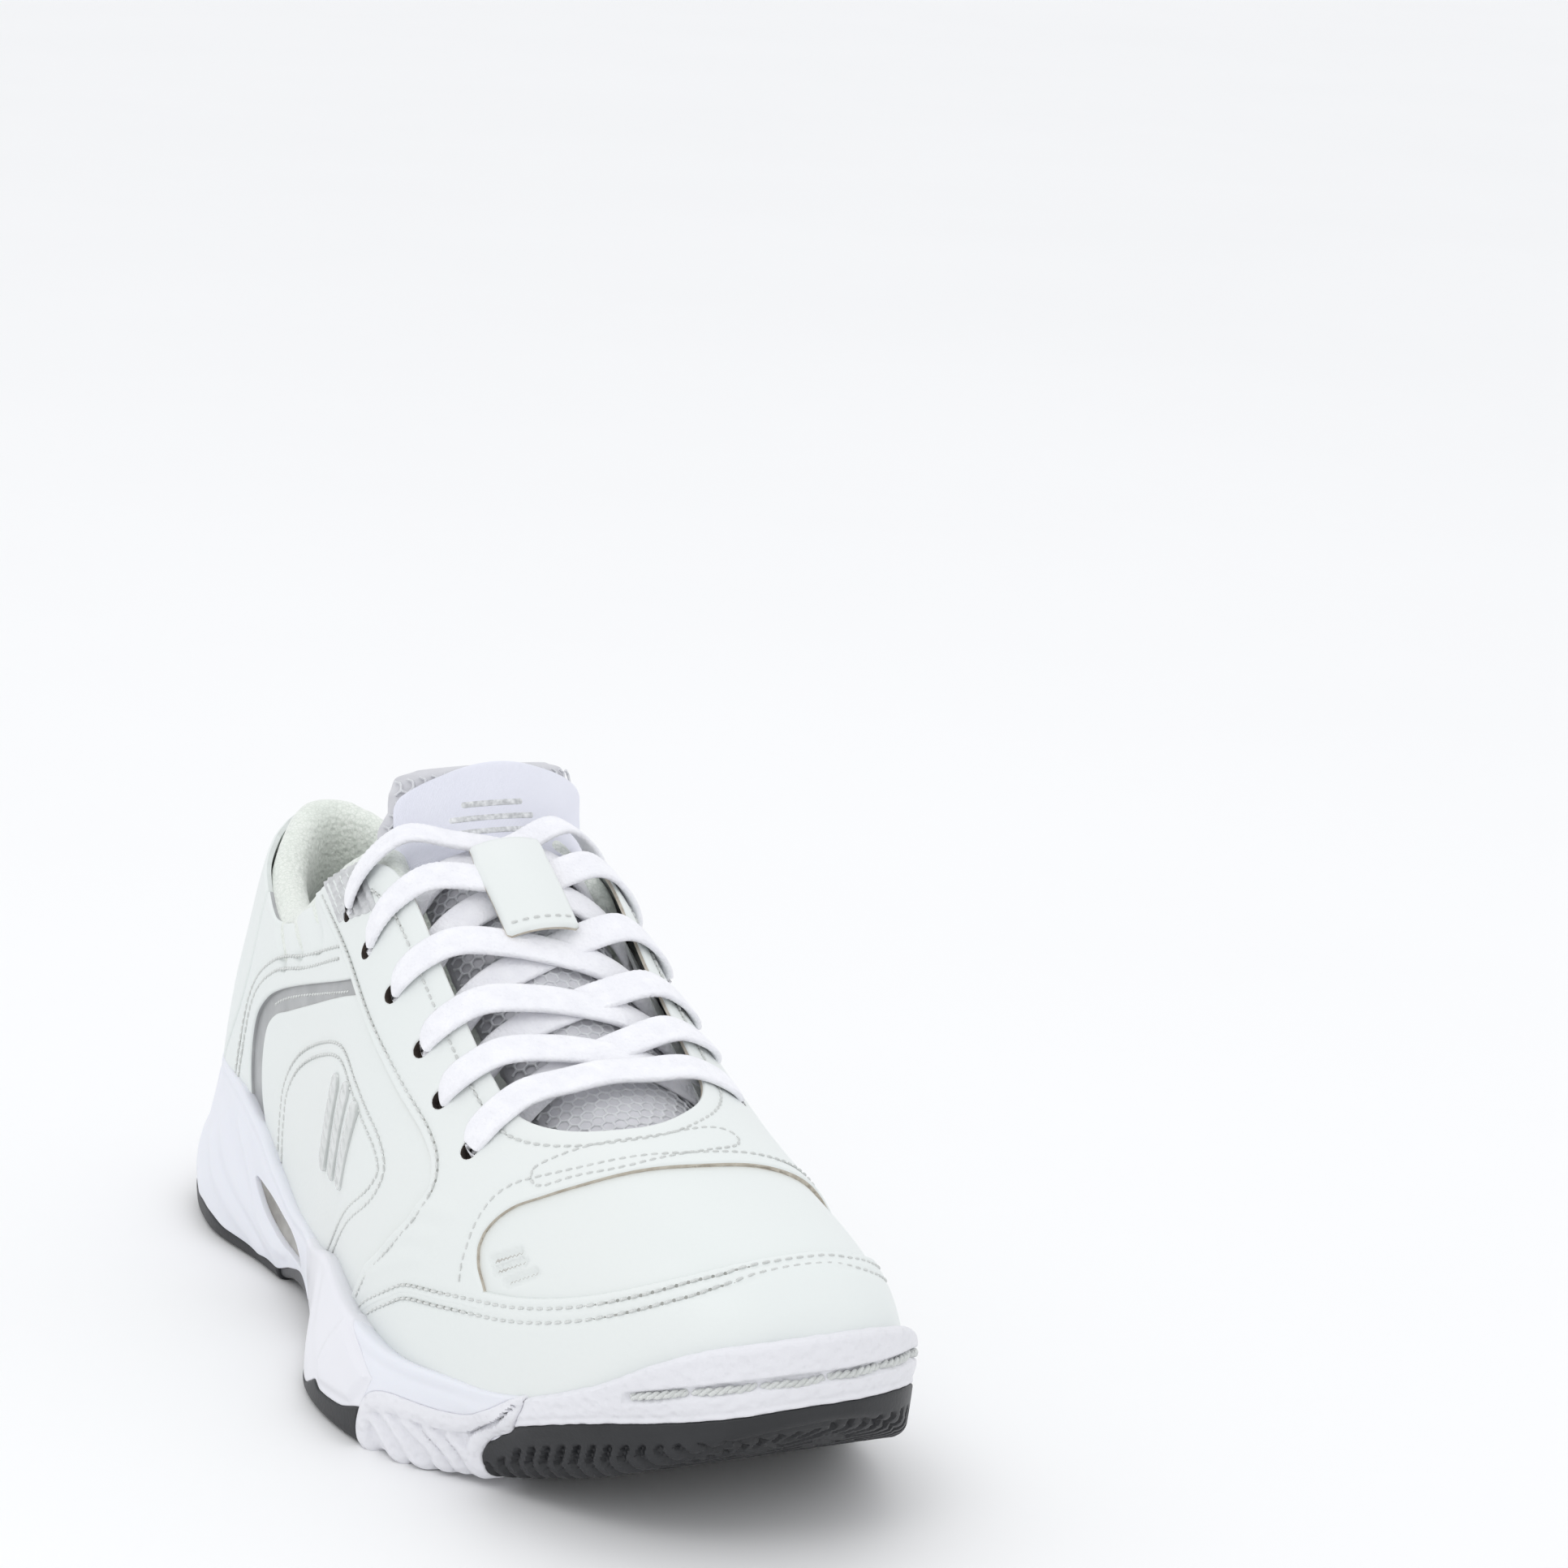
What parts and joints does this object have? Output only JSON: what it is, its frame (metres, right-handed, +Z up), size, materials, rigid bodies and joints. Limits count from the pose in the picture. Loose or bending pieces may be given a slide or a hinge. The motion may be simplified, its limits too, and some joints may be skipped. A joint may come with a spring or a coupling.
{
  "type": "court shoe",
  "caption": "Left court shoe: lace-up leather upper with padded collar and tongue, on a cupsole with a herringbone outsole, toe bumper and lateral outrigger.",
  "frame": {"origin": "on the ground, under the middle of the shoe's box", "axes": "+Z up, -Y towards the toe, +Y towards the heel, -X to the outer (lateral) side of the left foot"},
  "size_m": [0.1142, 0.2898, 0.1372],
  "materials": {
    "outsole_rubber": "matte black rubber tread",
    "white_rubber": "fine pebbled white rubber",
    "midsole_foam": "smooth moulded white EVA",
    "white_tpu": "satin white TPU",
    "smoke_tpu": "smoky translucent TPU",
    "shank_tpu": "dark grey TPU",
    "board": "pressed fibre board",
    "sockliner_cloth": "knit cloth on foam",
    "leather": "smooth cool white grained leather",
    "thermoplastic_sheet": "stiffener sheet",
    "foam": "open cell foam",
    "collar_mesh": "padded lining mesh",
    "lining_cloth": "knit lining",
    "silver_stripe": "silver grey synthetic",
    "silver_patch": "ribbed silver moulding",
    "badge_tpu": "translucent grey moulding",
    "tongue_mesh": "hexagonal net mesh",
    "label_satin": "woven satin label",
    "lace_weave": "flat woven lace",
    "aglet_film": "clear film sleeve",
    "thread": "thick waxed thread"
  },
  "bodies": {
    "shoe": {"outsole_heel": "outsole_rubber", "outsole_forefoot": "outsole_rubber", "shank_plate": "shank_tpu", "lateral_outrigger": "white_rubber", "lateral_stabiliser": "white_tpu", "toe_bumper": "white_rubber", "toe_bumper_thread": "thread", "lateral_heel_window": "smoke_tpu", "medial_heel_window": "smoke_tpu", "midsole": "midsole_foam", "lasting_board": "board", "sockliner": "sockliner_cloth", "heel_foxing": "leather", "toe_cap": "leather", "vamp_window_panel": "leather", "vamp_saddle": "leather", "heel_tab": "silver_stripe", "lateral_badge": "badge_tpu", "lateral_quarter": "leather", "medial_quarter": "leather", "lateral_collar_panel": "leather", "medial_collar_panel": "leather", "lateral_eyestay": "leather", "medial_eyestay": "leather", "lateral_eyestay_backing": "thermoplastic_sheet", "medial_eyestay_backing": "thermoplastic_sheet", "lateral_stripe": "silver_stripe", "medial_stripe": "silver_stripe", "lateral_eyelet_patch": "silver_patch", "medial_eyelet_patch": "silver_patch", "heel_counter": "thermoplastic_sheet", "toe_puff": "thermoplastic_sheet", "collar_foam": "foam", "collar_lining": "collar_mesh", "quarter_lining": "lining_cloth", "vamp_lining": "lining_cloth", "tongue_face": "tongue_mesh", "tongue_foam": "foam", "tongue_lining": "lining_cloth", "lace": "lace_weave", "lace_tail_lateral": "lace_weave", "lace_tail_medial": "lace_weave", "lace_aglet_lateral": "aglet_film", "lace_aglet_medial": "aglet_film", "lace_keeper": "leather"},
    "tongue_end": {"tongue_end_foam": "tongue_mesh", "tongue_end_lining": "lining_cloth", "tongue_label": "label_satin"}
  },
  "joints": [
    {"name": "tongue_end_fold", "type": "hinge", "parent": "shoe", "child": "tongue_end", "pos_m": [0.0049, 0.0285, 0.1162], "axis": [1, 0, 0], "range_deg": [0, 40], "stiffness_Nm_per_rad": 0.02}
  ]
}
